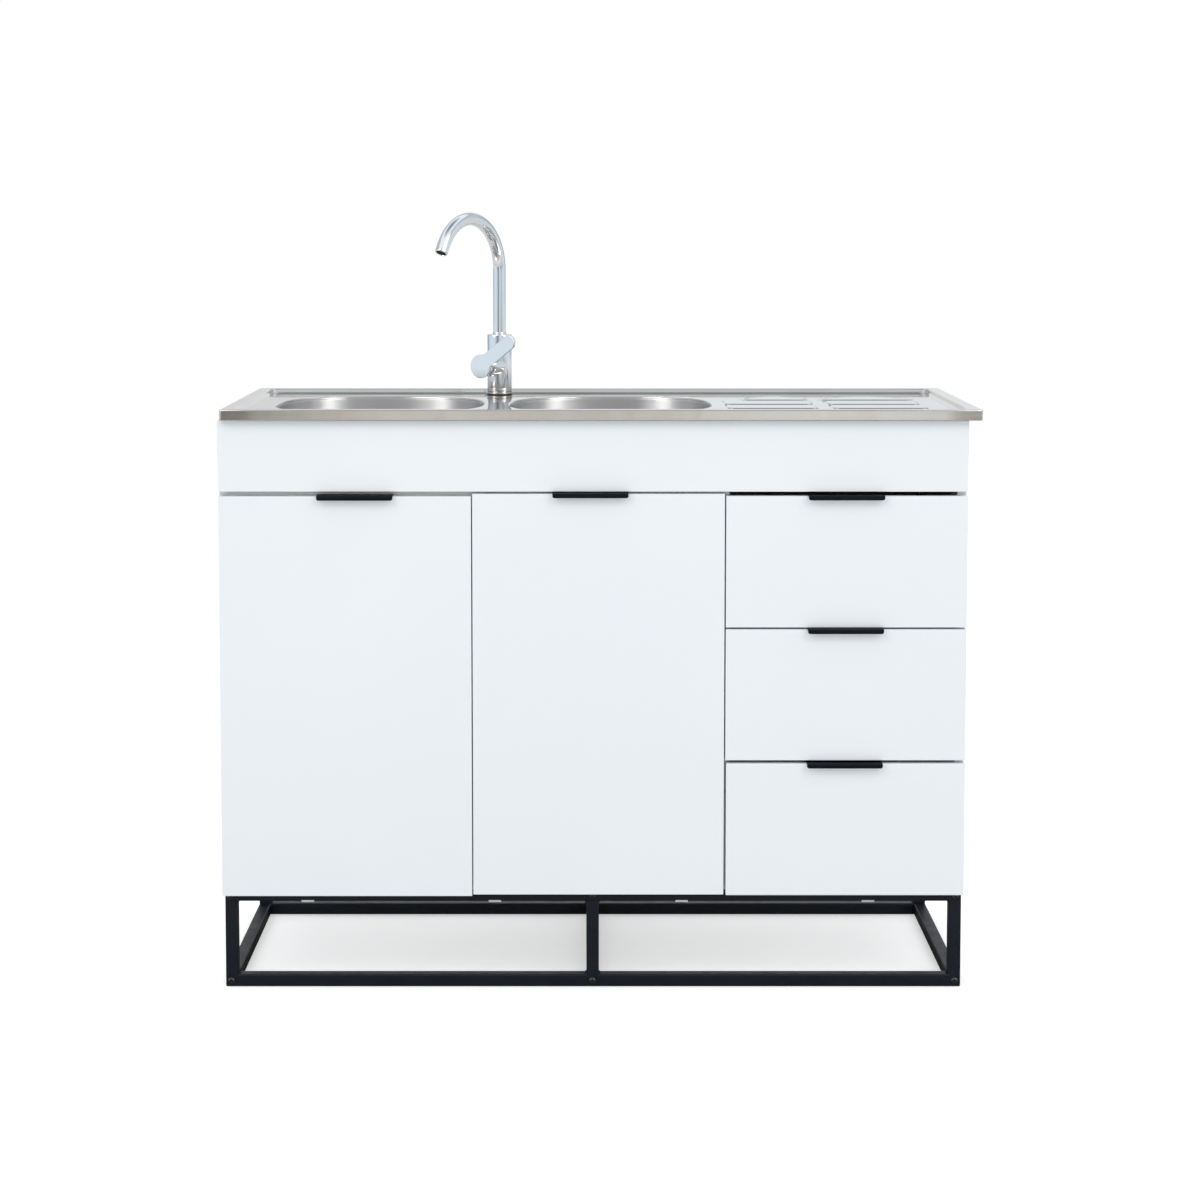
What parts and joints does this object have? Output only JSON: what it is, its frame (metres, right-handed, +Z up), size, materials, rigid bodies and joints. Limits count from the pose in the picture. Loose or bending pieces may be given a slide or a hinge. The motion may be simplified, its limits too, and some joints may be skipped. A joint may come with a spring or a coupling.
{
  "type": "kitchen sink unit",
  "caption": "Free-standing kitchen base unit on a square-tube stand, with doors, drawers, a steel double-bowl drainer sink top and a single-lever swan-neck tap.",
  "frame": {"origin": "on the floor, under the centre of the whole unit's box", "axes": "+Z up, -Y towards the person at the sink, +X to that person's right"},
  "size_m": [1.205, 0.5, 1.2443],
  "materials": {
    "black_stand": "satin black powder coat",
    "black_pull": "satin black",
    "zinc": "bright zinc plate",
    "carcass_board": "white melamine faced board, low sheen",
    "drawer_board": "white melamine faced board, low sheen",
    "back_board": "thin white-faced hardboard",
    "white_front": "smooth white foil, semi-gloss",
    "sink_steel": "brushed",
    "bowl_steel": "satin",
    "chrome": "polished",
    "aerator": "dark grey",
    "white_plastic": "semi-gloss",
    "runner_white": "white epoxy coat"
  },
  "bodies": {
    "cabinet": {"stand_front_frame": "black_stand", "stand_rear_frame": "black_stand", "stand_left_bottom_rail": "black_stand", "stand_left_top_rail": "black_stand", "stand_middle_bottom_rail": "black_stand", "stand_middle_top_rail": "black_stand", "stand_right_bottom_rail": "black_stand", "stand_right_top_rail": "black_stand", "stand_screw_1": "black_stand", "stand_screw_2": "black_stand", "stand_screw_3": "black_stand", "stand_screw_4": "black_stand", "stand_screw_5": "black_stand", "stand_screw_6": "black_stand", "stand_clip_1": "zinc", "stand_clip_2": "zinc", "stand_clip_3": "zinc", "stand_clip_4": "zinc", "left_side_panel": "carcass_board", "right_side_panel": "carcass_board", "bottom_panel": "carcass_board", "partition_panel": "carcass_board", "back_panel": "back_board", "front_rail": "carcass_board", "rear_rail": "carcass_board", "fascia_panel": "white_front", "sink_deck": "sink_steel", "left_bowl": "bowl_steel", "right_bowl": "bowl_steel", "waste_trap": "white_plastic", "tap_body": "chrome", "left_door_bottom_hinge": "zinc", "left_door_top_hinge": "zinc", "right_door_bottom_hinge": "zinc", "right_door_top_hinge": "zinc", "drawer_1_left_runner": "runner_white", "drawer_1_right_runner": "runner_white", "drawer_2_left_runner": "runner_white", "drawer_2_right_runner": "runner_white", "drawer_3_left_runner": "runner_white", "drawer_3_right_runner": "runner_white"},
    "left_door": {"left_door": "white_front", "left_door_pull": "black_pull"},
    "right_door": {"right_door": "white_front", "right_door_pull": "black_pull"},
    "drawer_1": {"drawer_1_front": "white_front", "drawer_1_pull": "black_pull", "drawer_1_box": "drawer_board"},
    "drawer_2": {"drawer_2_front": "white_front", "drawer_2_pull": "black_pull", "drawer_2_box": "drawer_board"},
    "drawer_3": {"drawer_3_front": "white_front", "drawer_3_pull": "black_pull", "drawer_3_box": "drawer_board"},
    "tap_spout": {"tap_spout": "chrome", "tap_aerator": "aerator"},
    "tap_stem": {"tap_cartridge_stem": "chrome"},
    "tap_lever": {"tap_lever": "chrome"},
    "left_strainer": {"left_strainer": "bowl_steel"},
    "right_strainer": {"right_strainer": "bowl_steel"}
  },
  "joints": [
    {"name": "left_door_hinge", "type": "hinge", "parent": "cabinet", "child": "left_door", "pos_m": [-0.6025, -0.238, 0.47525], "axis": [0, 0, -1], "range_deg": [0, 105]},
    {"name": "right_door_hinge", "type": "hinge", "parent": "cabinet", "child": "right_door", "pos_m": [0.1984, -0.238, 0.4785], "axis": [0, 0, 1], "range_deg": [0, 90]},
    {"name": "drawer_1_slide", "type": "slide", "parent": "cabinet", "child": "drawer_1", "axis": [0, -1, 0], "range_m": [0, 0.3]},
    {"name": "drawer_2_slide", "type": "slide", "parent": "cabinet", "child": "drawer_2", "axis": [0, -1, 0], "range_m": [0, 0.3]},
    {"name": "drawer_3_slide", "type": "slide", "parent": "cabinet", "child": "drawer_3", "axis": [0, -1, 0], "range_m": [0, 0.3]},
    {"name": "spout_swivel", "type": "hinge", "parent": "cabinet", "child": "tap_spout", "pos_m": [-0.1719, 0.2, 1.036], "axis": [0, 0, 1], "continuous": true},
    {"name": "lever_turn", "type": "hinge", "parent": "cabinet", "child": "tap_stem", "pos_m": [-0.19348, 0.16775, 0.9786], "axis": [-0.5561, -0.8311, 0], "range_deg": [-40, 40]},
    {"name": "lever_lift", "type": "hinge", "parent": "tap_stem", "child": "tap_lever", "pos_m": [-0.20683, 0.16826, 0.97045], "axis": [0.4838, -0.3237, -0.8131], "range_deg": [0, 20]},
    {"name": "left_strainer_lift", "type": "slide", "parent": "cabinet", "child": "left_strainer", "axis": [0, 0, 1], "range_m": [0, 0.1]},
    {"name": "right_strainer_lift", "type": "slide", "parent": "cabinet", "child": "right_strainer", "axis": [0, 0, 1], "range_m": [0, 0.1]}
  ]
}
